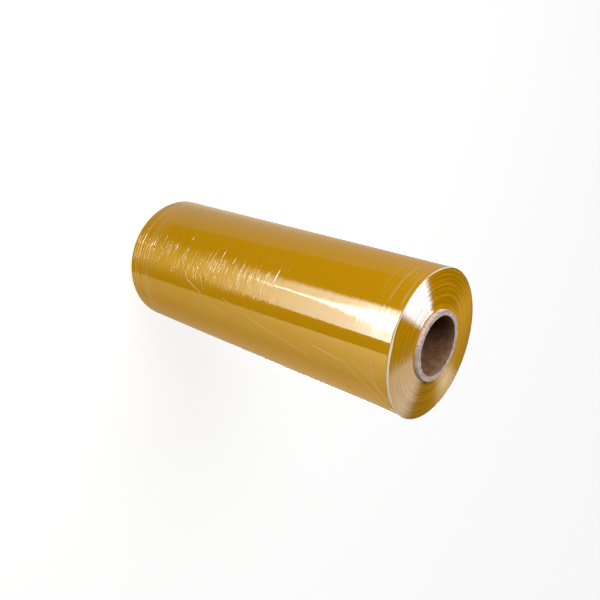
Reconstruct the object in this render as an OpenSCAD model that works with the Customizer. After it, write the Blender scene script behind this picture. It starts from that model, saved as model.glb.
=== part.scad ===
// Roll of clear cling film wound on a cardboard core, stood on one end of its core.
// The core runs up +Z from z = 0. All sizes are in millimetres.

/* [Core] */
// Inside diameter of the cardboard core
core_bore_d = 76.2; // [75:0.1:78]
// Wall of the core
core_wall = 7.2; // [5:0.1:10]
// Length of the core
core_len = 500; // [300:1:800]
// Small bevel that the knife and handling leave on each cut edge of the core
core_bevel = 0.4; // [0.2:0.1:1]

/* [Film] */
// Outside diameter of the wound film
roll_d = 192; // [150:1:240]
// Bare length of core outside the film's rim, the same at both ends
core_bare = 8.3; // [7:0.1:20]
// How far the turns at the core stand out past the turns at the rim, at the upper end
face_rise = 3.5; // [1:0.1:5]
// Groups of turns that step in and out across each end face
turn_groups = 17; // [8:1:24]
// How far a group of turns wanders to either side of the smooth face
turn_wander = 0.25; // [0.1:0.05:0.5]

/* [Loose outer turns] */
// Thickness of the last turns, which lie loose on the roll
loose_t = 0.6; // [0.4:0.1:1.2]
// How far the loose turns stand above the upper rim
loose_up = 2.6; // [1:0.1:4]
// How far the free edge of the loose turns leans in towards the core
loose_lean = 0.5; // [0.1:0.1:1]

/* [Node] */
// Which sub-part to show

/* [Hidden] */
$fn = 96;
core_bore_r = core_bore_d / 2;
core_r = core_bore_r + core_wall;
roll_r = roll_d / 2;
film_w = core_len - 2 * core_bare;
rim_low_z = core_bare;
tight_r = roll_r - loose_t;
group_t = (tight_r - core_r) / turn_groups;

// Radius where group i of the turns begins
function group_r(i) = core_r + i * group_t;

// How far group i is shifted up from the rim's place: a smooth rise towards the core, and its own wander
function group_shift(i) =
    let (out = (i + 0.5) / turn_groups)
    let (side = i % 2 == 0 ? 1 : -1)
    face_rise * (1 - out * out) + side * turn_wander * (0.65 + 0.35 * sin(128 * i));

// Each turn of the film has the same width, so both end faces step by the same shifts
function face_steps(z) = [
    for (i = [0 : turn_groups - 1])
        for (r = [group_r(i), group_r(i + 1)])
            [r, z + group_shift(i)]
];

// Points of a list from its last to its first
function backwards(points) = [for (i = [len(points) - 1 : -1 : 0]) points[i]];

// Spiral-wound tube with square-cut ends, its four edges slightly bevelled
module cardboard_core() {
    color([0.70, 0.62, 0.54])
    rotate_extrude()
    polygon([
        [core_bore_r, core_bevel],
        [core_bore_r + core_bevel, 0],
        [core_r - core_bevel, 0],
        [core_r, core_bevel],
        [core_r, core_len - core_bevel],
        [core_r - core_bevel, core_len],
        [core_bore_r + core_bevel, core_len],
        [core_bore_r, core_len - core_bevel]
    ]);
}

// All turns of the film as one solid: stepped end faces, and the loose last turns,
// which are shifted up as one, so they stand above the upper rim and stop short of the lower one
module film_roll() {
    color([0.80, 0.56, 0.10])
    rotate_extrude()
    polygon(concat(
        face_steps(rim_low_z),
        [
            [tight_r, rim_low_z + loose_up],
            [roll_r, rim_low_z + loose_up],
            [roll_r, rim_low_z + film_w],
            [roll_r - loose_lean, rim_low_z + film_w + loose_up],
            [tight_r - loose_lean, rim_low_z + film_w + loose_up],
            [tight_r, rim_low_z + film_w + group_shift(turn_groups - 1)]
        ],
        backwards(face_steps(rim_low_z + film_w))
    ));
}

cardboard_core();
film_roll();
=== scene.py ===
# Roll of clear amber cling film on its cardboard core, stood on one end of the core.
# Metres, and azimuths about +Z from +X; the camera stands on the -Y side.
import math

import bpy
import numpy as np
from mathutils import Matrix, Vector

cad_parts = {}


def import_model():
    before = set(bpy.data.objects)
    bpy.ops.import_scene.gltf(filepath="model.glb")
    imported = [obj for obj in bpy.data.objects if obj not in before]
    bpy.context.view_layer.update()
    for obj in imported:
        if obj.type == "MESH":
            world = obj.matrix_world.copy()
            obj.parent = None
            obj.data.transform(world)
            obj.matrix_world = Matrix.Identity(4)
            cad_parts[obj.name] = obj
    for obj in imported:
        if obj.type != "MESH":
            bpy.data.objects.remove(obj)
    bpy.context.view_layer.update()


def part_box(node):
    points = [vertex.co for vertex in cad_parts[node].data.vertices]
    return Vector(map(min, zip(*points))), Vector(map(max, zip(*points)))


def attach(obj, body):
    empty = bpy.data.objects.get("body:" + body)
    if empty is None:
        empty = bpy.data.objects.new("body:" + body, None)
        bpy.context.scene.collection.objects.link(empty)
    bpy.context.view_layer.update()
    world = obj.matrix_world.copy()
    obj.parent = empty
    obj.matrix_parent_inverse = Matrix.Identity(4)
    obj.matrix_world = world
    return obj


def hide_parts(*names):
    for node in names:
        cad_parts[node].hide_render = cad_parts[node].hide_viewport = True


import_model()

# Sizes: length and radii are read from the CAD boxes, the rest is as in the part's source
MM = 0.001
core_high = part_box("cardboard_core")[1]
film_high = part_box("film_roll")[1]
CORE_LEN = core_high[2]
CORE_R = core_high[0]
CORE_WALL = 7.2 * MM
BORE_R = CORE_R - CORE_WALL
ROLL_R = film_high[0]
LOOSE_T = 0.6 * MM
LOOSE_UP = 2.6 * MM
TIGHT_R = ROLL_R - LOOSE_T
RIM_LOW = 8.3 * MM
RIM_HIGH = CORE_LEN - RIM_LOW
FACE_RISE = 3.5 * MM
TAU = 2 * math.pi

rng = np.random.default_rng(20)


# Meshes

def smooth(x, low, high):
    """Runs smoothly from 0 at low to 1 at high."""
    t = np.clip((x - low) / (high - low), 0, 1)
    return t * t * (3 - 2 * t)


def around(n):
    """Azimuths of n columns, in radians."""
    return np.linspace(0, TAU, n, endpoint=False)


def bell(x):
    return np.exp(-x ** 2)


def plateau(x):
    """Near 1 between -1 and 1, with sides steeper than a bell's."""
    return np.exp(-x ** 4)


def angle_gap(azimuth, centre):
    """Signed angle from centre, wrapped to half a turn."""
    return (azimuth - centre + math.pi) % TAU - math.pi


def ring_solid(name, radius, height, azimuth):
    """Closed ring-shaped mesh: radius and height are arrays of profile points by azimuths."""
    rows, cols = radius.shape
    points = np.stack([radius * np.cos(azimuth), radius * np.sin(azimuth), height], axis=-1)
    row = np.arange(rows)[:, None]
    col = np.arange(cols)[None, :]
    next_row = (row + 1) % rows
    next_col = (col + 1) % cols
    quads = np.stack(np.broadcast_arrays(
        row * cols + col, row * cols + next_col, next_row * cols + next_col, next_row * cols + col
    ), axis=-1).reshape(-1, 4)
    mesh = bpy.data.meshes.new(name)
    mesh.vertices.add(rows * cols)
    mesh.vertices.foreach_set("co", points.reshape(-1).astype(np.float32))
    mesh.loops.add(quads.size)
    mesh.loops.foreach_set("vertex_index", quads.reshape(-1).astype(np.int32))
    mesh.polygons.add(len(quads))
    mesh.polygons.foreach_set("loop_start", np.arange(0, quads.size, 4, dtype=np.int32))
    mesh.update(calc_edges=True)
    mesh.validate()
    mesh.polygons.foreach_set("use_smooth", np.ones(len(mesh.polygons), dtype=bool))
    piece = bpy.data.objects.new(name, mesh)
    bpy.context.scene.collection.objects.link(piece)
    return piece


def add_layer(piece, name, values):
    """Stores one number for each vertex, which the material reads by its name."""
    layer = piece.data.attributes.new(name, "FLOAT", "POINT")
    layer.data.foreach_set("value", values.reshape(-1).astype(np.float32))


def waves(count, pitch_low, pitch_high, most_turns):
    """Random waves along the axis: pitch, whole waves around the roll, phase, weight."""
    return [
        (rng.uniform(pitch_low, pitch_high), int(rng.integers(-most_turns, most_turns + 1)),
         rng.uniform(0, TAU), rng.uniform(0.5, 1))
        for _ in range(count)
    ]


def wave_field(parts, azimuth, along):
    """Sum of waves, about -1 to 1."""
    total = np.zeros(np.broadcast(azimuth, along).shape)
    for pitch, turns, phase, weight in parts:
        total += weight * np.sin(TAU * along / pitch + turns * azimuth + phase)
    return total / math.sqrt(len(parts))


# Wound film: the tight turns, with their domed and ridged end faces

FILM_COLS = 256
TOP_ROWS = 170
LOW_ROWS = 90
RIDGE_PITCH = 1.45 * MM
RIDGE_H = 0.07 * MM
RIDGE_DRIFT = 0.25 * RIDGE_PITCH
RIDGE_PEAK = 0.2
RIDGE_LEAST = 0.35
SWELL_PITCH = 6.5 * MM
SWELL_H = 0.03 * MM


def face_height(radius, azimuth):
    """Height of an end face above its rim: a gentle dome with turns that step in and out."""
    out = (radius - CORE_R) / (TIGHT_R - CORE_R)
    dome = FACE_RISE * (1 - out ** 2)
    drift = RIDGE_DRIFT * np.sin(azimuth + 40 * out)
    step = (radius + drift) / RIDGE_PITCH
    whole = np.floor(step)
    part = step - whole
    tall = RIDGE_LEAST + (1 - RIDGE_LEAST) * np.abs(np.sin(12.9898 * whole + 4.1))
    ridge = tall * np.where(part < RIDGE_PEAK, part / RIDGE_PEAK, (1 - part) / (1 - RIDGE_PEAK))
    swell = SWELL_H * np.sin(TAU * radius / SWELL_PITCH + np.sin(azimuth))
    return dome + RIDGE_H * (ridge - 0.5) + swell


def tight_turns():
    azimuth = around(FILM_COLS)[None, :]
    out_r = np.linspace(CORE_R, TIGHT_R, LOW_ROWS)[:, None] + 0 * azimuth
    in_r = np.linspace(TIGHT_R, CORE_R, TOP_ROWS)[:, None] + 0 * azimuth
    radius = np.concatenate([out_r, in_r])
    height = np.concatenate([RIM_LOW + face_height(out_r, azimuth), RIM_HIGH + face_height(in_r, azimuth)])
    piece = ring_solid("film_turns", radius, height, azimuth)
    piece.data.materials.append(film_end_material())
    return piece


# Loose last turns: the barrel's skin, with its wrinkles and its free edge above the upper rim

SKIN_COLS = 160
FINE_ROWS = 380
WIDE_ROWS = 170
LIP_ROWS = 12
LIP_T = 0.35 * MM
FOOT_DEPTH = 2 * MM
WRINKLED_TO = 0.30
WRINKLE_ROOM = 0.12 * MM
CAMERA_SIDE = math.radians(-90)
RIPPLES = 60
RIPPLED_LEN = 0.290
BAND_W = 0.9 * MM
BAND_SWAY = 0.8 * MM
# Lines around the roll, left by the film's tension: height and how tall in mm, middle and reach in degrees
BANDS_AROUND = [
    (14, 0.07, -80, 70), (18, 0.05, -90, 60), (23, 0.10, -70, 60), (27, 0.08, -100, 50),
    (33, 0.09, -62, 60), (38, 0.08, -85, 50), (46, 0.06, -60, 45), (55, 0.05, -100, 25), (60, 0.07, -92, 12),
    (452, 0.01, -130, 30), (459, 0.015, -125, 28), (465, 0.02, -120, 26), (471, 0.015, -128, 30),
    (477, 0.02, -124, 32), (482, 0.02, -130, 36), (486, 0.02, -135, 40),
    (120, 0.04, 90, 80), (230, 0.05, 60, 60), (260, 0.04, 140, 50),
    (470, 0.06, 80, 70), (478, 0.05, 100, 90),
]
# Where the free edge stands highest: middle and reach in degrees, and how much it adds in mm
LIP_PEAKS = [(-62, 38, 2.0), (-160, 22, 1.5)]
LIP_LEAST = 0.2


def lip_height(azimuth):
    """How far the free edge of the loose turns stands above the rim, by azimuth."""
    tall = LIP_LEAST
    for centre, reach, more in LIP_PEAKS:
        tall = tall + more * bell(angle_gap(azimuth, math.radians(centre)) / math.radians(reach))
    ripple = 0.12 * np.sin(9 * azimuth + 1) + 0.08 * np.sin(17 * azimuth)
    return tall * MM * (1 + ripple)


def one_ripple(azimuth, along, front):
    """A short wrinkle at a random place of the lower part, on the camera's side or anywhere around."""
    centre = CAMERA_SIDE + math.radians(rng.uniform(-14, 10)) if front else rng.uniform(0, TAU)
    place = RIM_LOW + RIPPLED_LEN * rng.uniform(0.02, 1)
    half = math.radians(rng.uniform(3, 11) if front else rng.uniform(9, 30))
    width = rng.uniform(0.7, 1.0) * MM
    tall = rng.uniform(0.01, 0.03) * MM
    slant = rng.uniform(-9, 9) * MM
    off = angle_gap(azimuth, centre)
    return tall * bell((along - place - slant * off) / width) * plateau(off / half)


def wrinkle_height(azimuth, along):
    """Radial height of the skin's wrinkles: fine ripples and bands that run around the roll."""
    fine = wave_field(waves(18, 2.2 * MM, 5 * MM, 6), azimuth, along)
    slow = wave_field(waves(6, 35 * MM, 120 * MM, 3), azimuth, along)
    lower_part = 1 - smooth(along, 0.20, 0.33)
    rough = smooth(slow, -0.6, 1.2) * (0.35 + 0.65 * lower_part)
    total = (0.004 + 0.006 * rough) * MM * fine
    for k in range(RIPPLES):
        total += one_ripple(azimuth, along, k % 3 > 0)
    for place, tall, centre, half in BANDS_AROUND:
        line = place * MM + BAND_SWAY * np.sin(2 * azimuth + place)
        reach = plateau(angle_gap(azimuth, math.radians(centre)) / math.radians(half))
        total += tall * MM * reach * bell((along - line) / BAND_W)
    return total


def skin():
    azimuth = around(SKIN_COLS)[None, :]
    fine = np.linspace(RIM_LOW + 0.4 * LOOSE_UP, WRINKLED_TO, FINE_ROWS, endpoint=False)
    wide = np.linspace(WRINKLED_TO, RIM_HIGH, WIDE_ROWS)
    along = np.concatenate([fine, wide])[:, None] + 0 * azimuth
    barrel_r = ROLL_R - WRINKLE_ROOM + wrinkle_height(azimuth, along)
    up = np.linspace(0, 1, LIP_ROWS)[1:, None] * lip_height(azimuth)
    lean = 0.25 * up + 0.08 * up ** 2 / MM
    lip_r = barrel_r[-1:, :] - lean
    lip_z = RIM_HIGH + up
    inner_r = lip_r[::-1] - LIP_T
    inner_z = lip_z[::-1]
    foot_r = np.full((2, SKIN_COLS), TIGHT_R)
    foot_z = np.array([RIM_HIGH - FOOT_DEPTH, along[0, 0]])[:, None] + 0 * azimuth
    radius = np.concatenate([barrel_r, lip_r, inner_r, foot_r])
    height = np.concatenate([along, lip_z, inner_z, foot_z])
    piece = ring_solid("film_skin", radius, height, azimuth)
    add_layer(piece, "above_rim", np.clip((height - RIM_HIGH) / MM + 1.0, 0, 5))
    piece.data.materials.append(film_skin_material())
    return piece


# Cardboard core: a thick spiral-wound tube with knife-cut ends

CORE_COLS = 200
WALL_ROWS = 60
RING_ROWS = 9
CORE_BEVEL = 0.45 * MM
SEAM_H = 0.18 * MM
SEAM_LEAD = 0.19
SEAM_W = 0.05
PLIES = 8
PLY_H = 0.10 * MM
CUT_ROOM = 0.35 * MM


def core_tube():
    azimuth = around(CORE_COLS)[None, :]
    blank = 0 * azimuth
    ragged = 0.10 * np.sin(23 * azimuth + 1) + 0.08 * np.sin(41 * azimuth) + 0.07 * np.sin(67 * azimuth + 2)
    bore_z = np.linspace(CORE_LEN - 2 * CORE_BEVEL, 2 * CORE_BEVEL, WALL_ROWS)[:, None]
    seam = SEAM_H * bell(angle_gap(azimuth, TAU * bore_z / SEAM_LEAD) / SEAM_W)
    ring = np.linspace(0, 1, RING_ROWS)[:, None]
    across = (CORE_WALL - 2 * CORE_BEVEL) * ring
    plies = PLY_H * np.sin(TAU * ring * PLIES)
    outside_z = np.array([CORE_BEVEL, RIM_LOW, RIM_HIGH, CORE_LEN - CORE_BEVEL])[:, None]
    radius = np.concatenate([
        BORE_R + seam,
        BORE_R + CORE_BEVEL + across + blank,
        CORE_R + 0 * outside_z + blank,
        CORE_R - CORE_BEVEL - across + blank,
    ])
    height = np.concatenate([
        bore_z + blank,
        0 * ring + blank,
        outside_z + blank,
        CORE_LEN - CUT_ROOM + plies + ragged * MM,
    ])
    piece = ring_solid("core_tube", radius, height, azimuth)
    piece.data.materials.append(core_material())
    return piece


# Shader nodes

class Nodes:
    """Short names for the nodes that the materials and the world share."""

    def __init__(self, tree):
        self.tree = tree
        tree.nodes.clear()

    def new(self, kind, **inputs):
        made = self.tree.nodes.new("ShaderNode" + kind)
        for name, value in inputs.items():
            self.feed(made, name.replace("_", " "), value)
        return made

    def feed(self, made, key, value):
        socket = made.inputs[key]
        if isinstance(value, bpy.types.NodeSocket):
            self.tree.links.new(value, socket)
        else:
            socket.default_value = value

    def math(self, kind, *values, clamp=False):
        made = self.tree.nodes.new("ShaderNodeMath")
        made.operation = kind
        made.use_clamp = clamp
        for i, value in enumerate(values):
            self.feed(made, i, value)
        return made.outputs[0]

    def times(self, first, *more):
        for value in more:
            first = self.math("MULTIPLY", first, value)
        return first

    def plus(self, first, *more):
        for value in more:
            first = self.math("ADD", first, value)
        return first

    def minus(self, first, second):
        return self.math("SUBTRACT", first, second)

    def most(self, first, *more):
        for value in more:
            first = self.math("MAXIMUM", first, value)
        return first

    def vector(self, kind, *values, out=0):
        made = self.tree.nodes.new("ShaderNodeVectorMath")
        made.operation = kind
        for i, value in enumerate(values):
            self.feed(made, i, value)
        return made.outputs[out]

    def scaled(self, vector, by):
        made = self.tree.nodes.new("ShaderNodeVectorMath")
        made.operation = "SCALE"
        self.feed(made, 0, vector)
        self.feed(made, "Scale", by)
        return made.outputs[0]

    def together(self, first, *more):
        """Sum of vectors or colours."""
        for value in more:
            first = self.vector("ADD", first, value)
        return first

    def unit(self, vector):
        return self.vector("NORMALIZE", vector)

    def length(self, vector):
        return self.vector("LENGTH", vector, out=1)

    def dot(self, vector, fixed):
        return self.vector("DOT_PRODUCT", vector, tuple(fixed), out=1)

    def join(self, x, y, z):
        return self.new("CombineXYZ", X=x, Y=y, Z=z).outputs[0]

    def split(self, vector):
        return self.new("SeparateXYZ", Vector=vector).outputs[:3]

    def grey(self, value):
        return self.join(value, value, value)

    def linear(self, value, low, high):
        """Straight run of value from 0 at low to 1 at high."""
        made = self.tree.nodes.new("ShaderNodeMapRange")
        for i, number in enumerate((value, low, high)):
            self.feed(made, i, number)
        return made.outputs[0]

    def ramp(self, value, low, high, start=0.0, end=1.0):
        """Smooth run of value from start at low to end at high."""
        made = self.tree.nodes.new("ShaderNodeMapRange")
        made.interpolation_type = "SMOOTHSTEP"
        for i, number in enumerate((value, low, high, start, end)):
            self.feed(made, i, number)
        return made.outputs[0]

    def colour(self, amount, low, high):
        made = self.tree.nodes.new("ShaderNodeMix")
        made.data_type = "RGBA"
        self.feed(made, 0, amount)
        self.feed(made, 6, low)
        self.feed(made, 7, high)
        return made.outputs[2]

    def noise(self, where, scale, detail, roughness):
        made = self.new("TexNoise", Vector=where, Scale=scale, Detail=detail, Roughness=roughness)
        return made.outputs["Fac"]

    def stretched(self, where, stretch, detail=1.0):
        """Noise with its own fineness along x, y and z."""
        return self.noise(self.vector("MULTIPLY", where, stretch), 1.0, detail, 0.5)

    def bump(self, height, distance, strength, **inputs):
        return self.new("Bump", Height=height, Distance=distance, Strength=strength, **inputs).outputs[0]

    def place(self):
        return self.new("TexCoord").outputs["Object"]

    def surface_normal(self):
        return self.new("NewGeometry").outputs["Normal"]

    def finish(self, shader, kind="OutputMaterial"):
        made = self.new(kind)
        self.tree.links.new(shader, made.inputs["Surface"])


def material(name):
    made = bpy.data.materials.new(name)
    made.use_nodes = True
    return made, Nodes(made.node_tree)


def compass(azimuth, elevation):
    """Unit vector towards an azimuth and elevation in degrees."""
    a, e = math.radians(azimuth), math.radians(elevation)
    return Vector((math.cos(e) * math.cos(a), math.cos(e) * math.sin(a), math.sin(e)))


# Materials

FILM_IOR = 1.5
AMBER = (0.50, 0.243, 0.001, 1)
# The end face's amber is lighter than the barrel's AMBER: painted light that makes up for the dim light from
# above.
AMBER_END_PAINTED_LIGHT = (0.68, 0.33, 0.001, 1)
AMBER_DEEP = (0.45, 0.195, 0.0005, 1)
AMBER_PALE = (0.84, 0.52, 0.05, 1)
MILKY = (0.66, 0.50, 0.26, 1)
CLEAR_EDGE = (0.84, 0.75, 0.65, 1)
FACE_LEAN = 0.12
FACE_LEAN_SPREAD = 0.45
FACE_ROUGHNESS = 0.12


def film_end_material():
    """Edges of the tight turns: fine rings that draw reflections out into fans from the core to the rim."""
    made, n = material("wound_film_end")
    x, y = n.split(n.place())[:2]
    off_axis = n.join(x, y, 0.0)
    outward = n.unit(off_axis)
    turns = n.join(n.times(n.length(off_axis), 1000.0), n.times(x, 10.0), n.times(y, 10.0))
    rings = n.noise(turns, 0.85, 2.0, 0.6)
    hair = n.stretched(turns, (2.6, 6.0, 6.0))
    both = n.plus(n.times(rings, 0.7), n.times(hair, 0.3))
    # Rings run up to the end face's lighter amber, which is painted light for the dim light from above.
    tint = n.colour(n.ramp(both, 0.38, 0.62), AMBER_DEEP, AMBER_END_PAINTED_LIGHT)
    tint = n.colour(n.ramp(rings, 0.58, 0.70, 0.0, 0.35), tint, AMBER_PALE)
    lean = n.plus(n.times(n.minus(both, 0.5), FACE_LEAN_SPREAD), FACE_LEAN)
    normal = n.unit(n.together(n.surface_normal(), n.scaled(outward, lean)))
    shader = n.new("BsdfPrincipled", Base_Color=tint, Normal=normal, Tangent=outward)
    shader.inputs["Roughness"].default_value = FACE_ROUGHNESS
    shader.inputs["Anisotropic"].default_value = 1.0
    shader.inputs["IOR"].default_value = FILM_IOR
    n.finish(shader.outputs[0])
    return made


# Creases that run across the skin: azimuth in degrees and height in mm of each corner, and how tall in mm
CREASES = [
    ([(-60, 383), (-56, 430), (-38, 471), (-22, 491)], 0.10),
    ([(-60.5, 441), (-51, 467), (-35, 490)], 0.08),
    ([(-65.2, 468), (-50, 473), (-34, 489)], 0.10),
    ([(-67.7, 169), (-56.5, 226)], 0.05),
    ([(-70.5, 219), (-60.4, 282), (-50, 372)], 0.06),
    ([(-82, 134), (-75, 144), (-68, 174)], 0.09),
    ([(-84, 166), (-71, 179)], 0.07),
    ([(-60, 262), (-46, 420)], 0.03),
    ([(140, 90), (118, 170)], 0.08),
    ([(60, 380), (90, 470)], 0.08),
]
CREASE_W = 0.7 * MM


def unrolled(azimuth, height):
    """Place on the flattened skin, from an azimuth in degrees and a height in mm."""
    return Vector((math.radians(azimuth + 90) * ROLL_R, height * MM, 0))


def creases(n, flat):
    """Height of the creases at a place on the flattened skin: each stretch is a narrow ridge."""
    total = 0.0
    for corners, tall in CREASES:
        for first, second in zip(corners, corners[1:]):
            start = unrolled(*first)
            run = unrolled(*second) - start
            from_start = n.vector("SUBTRACT", flat, tuple(start))
            share = n.math("DIVIDE", n.dot(from_start, run), run.length_squared, clamp=True)
            gap = n.vector("DISTANCE", from_start, n.scaled(tuple(run), share), out=1)
            total = n.most(total, n.ramp(gap, CREASE_W, 0.0, 0.0, tall * MM))
    return total


# Fineness of the skin's noises, around the roll and along it: they are long around it and fine along it
COMB = (45.0, 45.0, 640.0)
GRAIN = (70.0, 70.0, 900.0)
LINES = (14.0, 14.0, 540.0)
BREAKS = (42.0, 42.0, 260.0)
PATCHES = (22.0, 22.0, 60.0)
RINGS = (4.0, 4.0, 620.0)


def towards(n, outward, azimuth, low, high):
    """1 on the barrel's side at an azimuth in degrees and 0 away from it, by the cosine between them."""
    return n.ramp(n.dot(outward, compass(azimuth, 0)), low, high)


def streaks(n, where, z, breaks, slack):
    """Thin wrinkles where the skin is slack: contour lines of a stretched noise, in short stretches."""
    lines = n.stretched(where, LINES, 0.0)
    patches = n.stretched(where, PATCHES)
    crowd = n.most(n.ramp(patches, 0.41, 0.52), n.ramp(z, 0.12, 0.22, 0.0, 0.9))
    crowd = n.times(crowd, slack, n.ramp(breaks, 0.42, 0.52))
    thread = n.ramp(n.math("ABSOLUTE", n.minus(lines, 0.5)), 0.038, 0.008)
    return n.times(thread, crowd, n.ramp(z, 0.27, 0.35, 1.0, 0.12))


def hoops(n, where, z, outward):
    """Lines around the roll near its rims."""
    upper_sides = n.most(towards(n, outward, -130, 0.90, 0.97), towards(n, outward, 60, 0.7, 0.9))
    upper_rim = n.times(n.ramp(z, 0.440, 0.475), upper_sides)
    rims = n.most(n.ramp(z, 0.070, 0.030), upper_rim)
    return n.times(n.ramp(n.stretched(where, RINGS), 0.58, 0.66), rims)


def film_skin_material():
    """Glossy film with normals tilted by noises: sway is a tilt around the roll, nod a tilt along it."""
    made, n = material("wound_film_skin")
    where = n.place()
    x, y, z = n.split(where)
    round_way = n.unit(n.join(n.times(y, -1.0), x, 0.0))
    outward = n.unit(n.join(x, y, 0.0))
    slack = n.most(
        towards(n, outward, -95, 0.89, 0.97),
        towards(n, outward, 25, 0.80, 0.95),
        towards(n, outward, 145, 0.80, 0.95),
    )
    breaks = n.stretched(where, BREAKS, 0.0)
    streak = streaks(n, where, z, breaks, slack)
    hoop = hoops(n, where, z, outward)
    loose = n.times(n.ramp(slack, 0.0, 1.0, 0.08, 1.0), n.ramp(z, 0.20, 0.36, 0.26, 0.025))
    loose = n.plus(loose, n.ramp(z, 0.455, 0.475, 0.0, 0.008))
    sway = n.plus(
        n.times(n.minus(n.stretched(where, COMB), 0.5), loose),
        n.times(streak, n.minus(breaks, 0.55)),
    )
    nod = n.plus(
        n.times(n.minus(n.stretched(where, GRAIN), 0.5), n.ramp(z, 0.20, 0.40, 0.10, 0.05)),
        n.times(streak, n.ramp(z, 0.05, 0.30, 0.21, 0.07)),
        n.times(hoop, n.ramp(z, 0.1, 0.4, 0.10, 0.03)),
    )
    tilt = n.together(n.scaled(round_way, sway), n.join(0.0, 0.0, nod))
    normal = n.unit(n.together(n.surface_normal(), tilt))
    angle = n.math("ARCTAN2", x, n.times(y, -1.0))
    crease = creases(n, n.join(n.times(angle, ROLL_R), z, 0.0))
    normal = n.bump(crease, 1.0, 1.0, Normal=normal)
    milky = n.plus(n.times(hoop, n.ramp(z, 0.1, 0.4, 0.65, 0.35)), n.times(streak, 0.10))
    milky = n.math("ADD", milky, n.ramp(crease, 0.02 * MM, 0.06 * MM, 0.0, 0.8), clamp=True)
    film = n.new("BsdfPrincipled", Base_Color=n.colour(milky, AMBER, MILKY), Normal=normal, Roughness=0.05)
    film.inputs["IOR"].default_value = FILM_IOR
    clear = n.new("BsdfPrincipled", Base_Color=CLEAR_EDGE, Normal=normal, Roughness=0.25)
    edge = n.new("Attribute")
    edge.attribute_name = "above_rim"
    both = n.new("MixShader")
    n.feed(both, 0, n.ramp(edge.outputs["Fac"], 0.6, 1.6))
    n.feed(both, 1, film.outputs[0])
    n.feed(both, 2, clear.outputs[0])
    n.finish(both.outputs[0])
    return made


CUT_DARK = (0.61, 0.46, 0.385, 1)
CUT_LIGHT = (0.87, 0.70, 0.62, 1)
KRAFT_DARK = (0.21, 0.105, 0.056, 1)
KRAFT_LIGHT = (0.31, 0.168, 0.098, 1)
SPECK = (0.09, 0.052, 0.033, 1)
FIBRE_H = 0.4 * MM


def core_material():
    """Board: brown kraft paper in the bore, paler where the knife cut it, with dark specks."""
    made, n = material("core_board")
    where = n.place()
    x, y = n.split(where)[:2]
    fibre = n.noise(where, 620.0, 2.0, 0.7)
    patch = n.ramp(n.noise(where, 120.0, 2.0, 0.5), 0.3, 0.7)
    cut_end = n.colour(patch, CUT_DARK, CUT_LIGHT)
    kraft = n.colour(patch, KRAFT_DARK, KRAFT_LIGHT)
    radius = n.length(n.join(x, y, 0.0))
    tint = n.colour(n.ramp(radius, BORE_R + 0.3 * MM, BORE_R + 0.6 * MM), kraft, cut_end)
    tint = n.colour(n.ramp(fibre, 0.54, 0.66, 0.0, 0.7), tint, SPECK)
    shader = n.new("BsdfPrincipled", Base_Color=tint, Normal=n.bump(fibre, FIBRE_H, 0.6), Roughness=0.85)
    shader.inputs["Specular IOR Level"].default_value = 0.04
    n.finish(shader.outputs[0])
    return made


# Studio: white to the camera, and to the gloss a room of lit panels that are set out by direction.
# The camera looks down on the roll, so the barrel mirrors what lies below the horizon and the end face
# mirrors what lies above it. Heights of directions are their z, from -1 straight down to 1 straight up.

def edge_normal(first, second, inside):
    """Normal of the plane through two directions, pointing towards a third."""
    normal = compass(*first).cross(compass(*second)).normalized()
    return normal if normal.dot(compass(*inside)) > 0 else -normal


# Edges of the panels, each through two directions of azimuth and elevation
BOX_TOP = edge_normal((-110.5, -42.3), (-119.2, -30.6), (-98, -38))
BOX_LOW = edge_normal((-67.9, -41.6), (-71.8, -30.2), (-98, -38))
BOX_HOT = edge_normal((-98.4, -41.0), (-98.9, -30.0), (0, 0))
TABLE = edge_normal((-34.3, -52.4), (-53.8, -30.1), (0, -30))
CEILING = edge_normal((-147.4, -52.1), (-176.2, -29.8), (150, -40))

# Colour of the softbox by the height of the direction, and of the table by its azimuth
BOX_GLOW = [
    (-0.82, (0.7, 0.5, 0.1)), (-0.715, (2.8, 2.4, 0.9)), (-0.643, (6.4, 6.3, 4.8)),
    (-0.549, (10, 10.4, 9.6)), (-0.51, (20, 20, 20)), (-0.465, (1.2, 1.1, 0.8)), (-0.1, (0.6, 0.5, 0.3)),
]
TABLE_GLOW = [
    (-54, (4.0, 3.2, 1.5)), (-34, (2.35, 1.9, 0.85)), (-21, (1.7, 1.4, 0.7)), (-9, (1.1, 0.9, 0.5)),
    (4, (0.55, 0.46, 0.34)), (18, (0.2, 0.16, 0.2)), (45, (0.16, 0.15, 0.2)), (85, (0.60, 0.50, 0.38)),
]
HOT_LEVEL = 16.0
HALO_GLOW = (1.2, 0.62, 0.03)
CEILING_GLOW = (0.40, 0.72, 0.95, 1)
CEILING_FAR = (1.25, 1.05, 0.80, 1)
DIM_BELOW = (0.02, 0.02, 0.02)
WHITE = (1, 1, 1, 1)

# The fans above the horizon are wedges that meet in one corner
FAN_CORNER = (-0.031, 0.8785, 0.0)
WHITE_TINT = (0.80, 1.03, 1.25)
WHITE_LEVEL = 17.0
BEIGE_TINT = (1.05, 1.0, 0.88)
BEIGE_LEVEL = 3.0
GLINT_LEVEL = 1.3
WARM_GLOW = (1.1, 0.65, 0.08)

# Even light for matt surfaces: below and above the horizon, on the key lamp's side and away from it
BRIGHT_SIDE = 215
LOW_BRIGHT = 0.84
LOW_DIM = 1.80
HIGH_BRIGHT = 1.70
HIGH_DIM = 0.0


def beyond(n, look, normal, soft):
    """1 on the side of an edge that its normal points to and 0 on the other, soft about the edge."""
    return n.ramp(n.dot(look, normal), n.times(soft, -1.0), soft)


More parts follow.
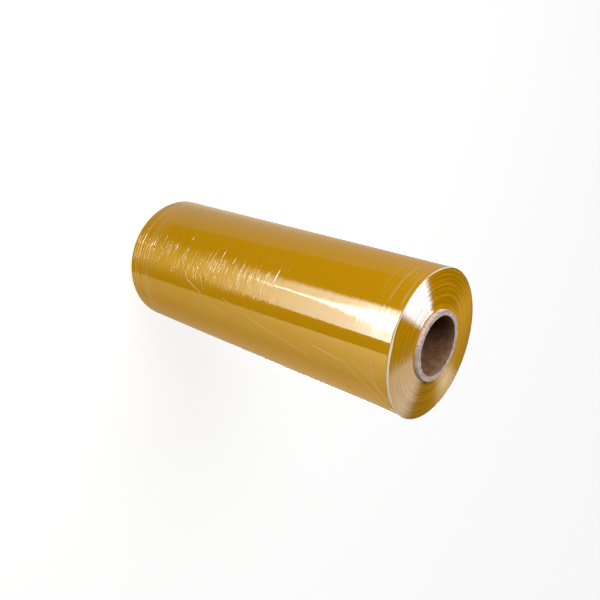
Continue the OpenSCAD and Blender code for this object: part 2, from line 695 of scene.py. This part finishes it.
def glow(n, value, stops, level):
    """Colour along value, times level. A colour ramp holds at most 1, so its stops are shares of the peak."""
    low, high = stops[0][0], stops[-1][0]
    peak = max(max(colour) for place, colour in stops)
    shade = n.new("ValToRGB", Fac=n.linear(value, low, high))
    steps = shade.color_ramp.elements
    for i, (place, colour) in enumerate(stops):
        stop = steps[i] if i in (0, 1) else steps.new(0.5)
        stop.position = (place - low) / (high - low)
        stop.color = [c / peak for c in colour] + [1]
    return n.scaled(shade.outputs[0], n.times(level, peak))


def softbox(n, look, z):
    """Large softbox that makes the barrel's highlight: its face, the hot line in it and a halo."""
    top_soft = n.ramp(z, -0.78, -0.62, 0.20, 0.05)
    low_soft = n.ramp(z, -0.78, -0.64, 0.20, 0.012)
    face = n.times(beyond(n, look, BOX_TOP, top_soft), beyond(n, look, BOX_LOW, low_soft))
    off_line = n.math("ABSOLUTE", n.dot(look, BOX_HOT))
    hot = n.ramp(n.math("DIVIDE", off_line, n.ramp(z, -0.62, -0.49, 0.016, 0.20)), 1.3, 0.5)
    hot = n.times(hot, n.ramp(z, -0.71, -0.62, 0.0, HOT_LEVEL), n.ramp(z, -0.44, -0.51))
    halo = n.times(beyond(n, look, BOX_TOP, 0.25), beyond(n, look, BOX_LOW, 0.25))
    return n.together(glow(n, z, BOX_GLOW, face), n.scaled(HALO_GLOW, halo), n.grey(hot))


def table(n, look, x, y, z):
    """Pale table that the lower half of the barrel mirrors."""
    turn = n.math("DEGREES", n.math("ARCTAN2", y, x))
    lit = n.times(n.ramp(z, -0.80, -0.48, 0.6, 1.25), n.ramp(z, -0.42, -0.50))
    return glow(n, turn, TABLE_GLOW, n.times(beyond(n, look, TABLE, 0.012), lit))


def ceiling(n, look, x, z):
    """Dim ceiling that the upper part of the barrel mirrors."""
    above_edge = n.dot(look, CEILING)
    level = n.times(
        n.ramp(above_edge, -0.012, 0.020),
        n.ramp(above_edge, 0.02, 0.55, 0.34, 0.56),
        n.ramp(z, -0.76, -0.50, 1.15, 0.75),
        n.ramp(x, 0.1, -0.1),
    )
    return n.scaled(n.colour(n.ramp(above_edge, 0.40, 0.85), CEILING_GLOW, CEILING_FAR), level)


def fans(n, x, y, z):
    """Wedges of light that the end face mirrors: white, beige, a glint and a warm one."""
    from_corner = n.vector("SUBTRACT", n.join(x, y, 0.0), FAN_CORNER)
    fan_x, fan_y = n.split(from_corner)[:2]
    bearing = n.math("DEGREES", n.math("ARCTAN2", fan_y, fan_x))
    far = n.length(from_corner)

    def wedge(start, full, fading, end):
        return n.times(n.ramp(bearing, start, full), n.ramp(bearing, end, fading))

    near = n.times(n.ramp(z, 0.20, 0.42), n.ramp(far, 0.80, 0.55))
    white = n.times(wedge(-145.0, -136.0, -108.0, -96.0), n.ramp(far, 0.08, 0.20, 0.0, WHITE_LEVEL), near)
    beige = n.times(wedge(-49.5, -48.0, -12.0, 8.0), n.ramp(far, 0.02, 0.10, 0.0, BEIGE_LEVEL), near)
    glint = n.times(wedge(22.0, 40.0, 46.0, 60.0), n.ramp(far, 0.05, 0.15, 0.0, GLINT_LEVEL))
    warm = wedge(-20.0, 70.0, 140.0, 178.0)
    return n.together(
        n.scaled(WHITE_TINT, white),
        n.scaled(BEIGE_TINT, beige),
        n.scaled(BEIGE_TINT, glint),
        n.scaled(WARM_GLOW, warm),
    )


def even_light(n, look, z):
    """What matt surfaces get from each direction."""
    to_bright = n.dot(look, compass(BRIGHT_SIDE, 0))
    low_fill = n.ramp(to_bright, -0.7, 0.7, LOW_DIM, LOW_BRIGHT)
    high_fill = n.ramp(to_bright, 0.45, 0.95, HIGH_DIM, HIGH_BRIGHT)
    return n.colour(n.ramp(z, 0.0, 0.35), n.grey(low_fill), n.grey(high_fill))


def world():
    made = bpy.data.worlds.new("studio")
    bpy.context.scene.world = made
    made.use_nodes = True
    made.cycles.sampling_method = "NONE"
    n = Nodes(made.node_tree)
    look = n.unit(n.new("TexCoord").outputs["Generated"])
    x, y, z = n.split(look)
    below = n.together(table(n, look, x, y, z), softbox(n, look, z), ceiling(n, look, x, z))
    below = n.together(n.scaled(below, n.ramp(z, -0.34, -0.45)), DIM_BELOW)
    upper = n.ramp(z, -0.06, 0.06)
    mirror = n.together(n.scaled(fans(n, x, y, z), upper), n.scaled(below, n.minus(1.0, upper)))
    path = n.new("LightPath")
    shiny = n.most(path.outputs["Is Glossy Ray"], path.outputs["Is Transmission Ray"])
    seen = n.colour(shiny, even_light(n, look, z), mirror)
    seen = n.colour(path.outputs["Is Camera Ray"], seen, WHITE)
    n.finish(n.new("Background", Color=seen, Strength=1.0).outputs[0], "OutputWorld")


FLOOR_HALF = 6.0
FLOOR_LEVEL = 0.35
FLOOR_GLOW = 0.86
BORE_FLOOR_R = 0.98 * CORE_R
BORE_FLOOR_UP = 0.2 * MM
# The disc in the bore is darker than the wide floor: painted shade at the bore's lower end.
BORE_FLOOR_PAINTED_SHADE = 0.10


def ground(name, corners, level, shine):
    """Flat patch of floor, seen by the camera and by the shadow, not by the gloss of the film."""
    mesh = bpy.data.meshes.new(name)
    mesh.from_pydata(corners, [], [tuple(range(len(corners)))])
    piece = bpy.data.objects.new(name, mesh)
    bpy.context.scene.collection.objects.link(piece)
    made, n = material(name)
    to_camera = n.times(n.new("LightPath").outputs["Is Camera Ray"], shine)
    both = n.new("AddShader")
    n.feed(both, 0, n.new("BsdfDiffuse", Color=(level, level, level, 1)).outputs[0])
    n.feed(both, 1, n.new("Emission", Color=WHITE, Strength=to_camera).outputs[0])
    n.finish(both.outputs[0])
    mesh.materials.append(made)
    piece.visible_glossy = False
    return piece


def floor():
    """Wide floor with the roll's shadow, and a disc that closes the bore's lower end; the disc's darker
    colour is painted shade.
    """
    half = FLOOR_HALF
    wide = ground("floor", [(-half, -half, 0), (half, -half, 0), (half, half, 0), (-half, half, 0)],
                  FLOOR_LEVEL, FLOOR_GLOW)
    wide.visible_diffuse = False
    disc = [(BORE_FLOOR_R * math.cos(a), BORE_FLOOR_R * math.sin(a), BORE_FLOOR_UP) for a in around(48)]
    ground("floor_in_bore", disc, BORE_FLOOR_PAINTED_SHADE, 0.0)


KEY_ELEVATION = 56
KEY_FAR = 1.6
KEY_SIZE = 0.8
KEY_WATTS = 12


def key_lamp():
    """Soft square lamp that faces the middle of the roll from its bright side."""
    data = bpy.data.lights.new("key", "AREA")
    data.shape = "SQUARE"
    data.size = KEY_SIZE
    data.energy = KEY_WATTS
    made = bpy.data.objects.new("key", data)
    bpy.context.scene.collection.objects.link(made)
    target = Vector((0, 0, CORE_LEN / 2))
    made.location = target + KEY_FAR * compass(BRIGHT_SIDE, KEY_ELEVATION)
    made.rotation_euler = (target - made.location).to_track_quat("-Z", "Y").to_euler()
    made.visible_camera = False
    made.visible_glossy = False


# Camera: place, direction and roll of the photograph's view, with angles in degrees

CAMERA_PLACE = (0.0, -0.74644, 0.86765)
CAMERA_PITCH = -38.419
CAMERA_YAW = 89.9415
CAMERA_ROLL = 108.677
FOCAL_PX = 675.95
PICTURE_PX = 600
SENSOR = 36.0


def camera():
    data = bpy.data.cameras.new("camera")
    data.sensor_fit = "HORIZONTAL"
    data.sensor_width = SENSOR
    data.lens = SENSOR * FOCAL_PX / PICTURE_PX
    data.clip_start = 0.01
    made = bpy.data.objects.new("camera", data)
    bpy.context.scene.collection.objects.link(made)
    ahead = compass(CAMERA_YAW, CAMERA_PITCH)
    level = ahead.cross(Vector((0, 0, 1))).normalized()
    turned = Matrix.Rotation(-math.radians(CAMERA_ROLL), 3, ahead) @ level
    upward = turned.cross(ahead)
    basis = Matrix((turned, upward, -ahead)).transposed()
    made.matrix_world = Matrix.Translation(CAMERA_PLACE) @ basis.to_4x4()
    bpy.context.scene.camera = made


# Assembly

def settle(piece, node):
    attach(piece, "root")
    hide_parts(node)


camera()
world()
floor()
key_lamp()
settle(tight_turns(), "film_roll")
settle(skin(), "film_roll")
settle(core_tube(), "cardboard_core")
bpy.context.scene.view_settings.view_transform = "Standard"
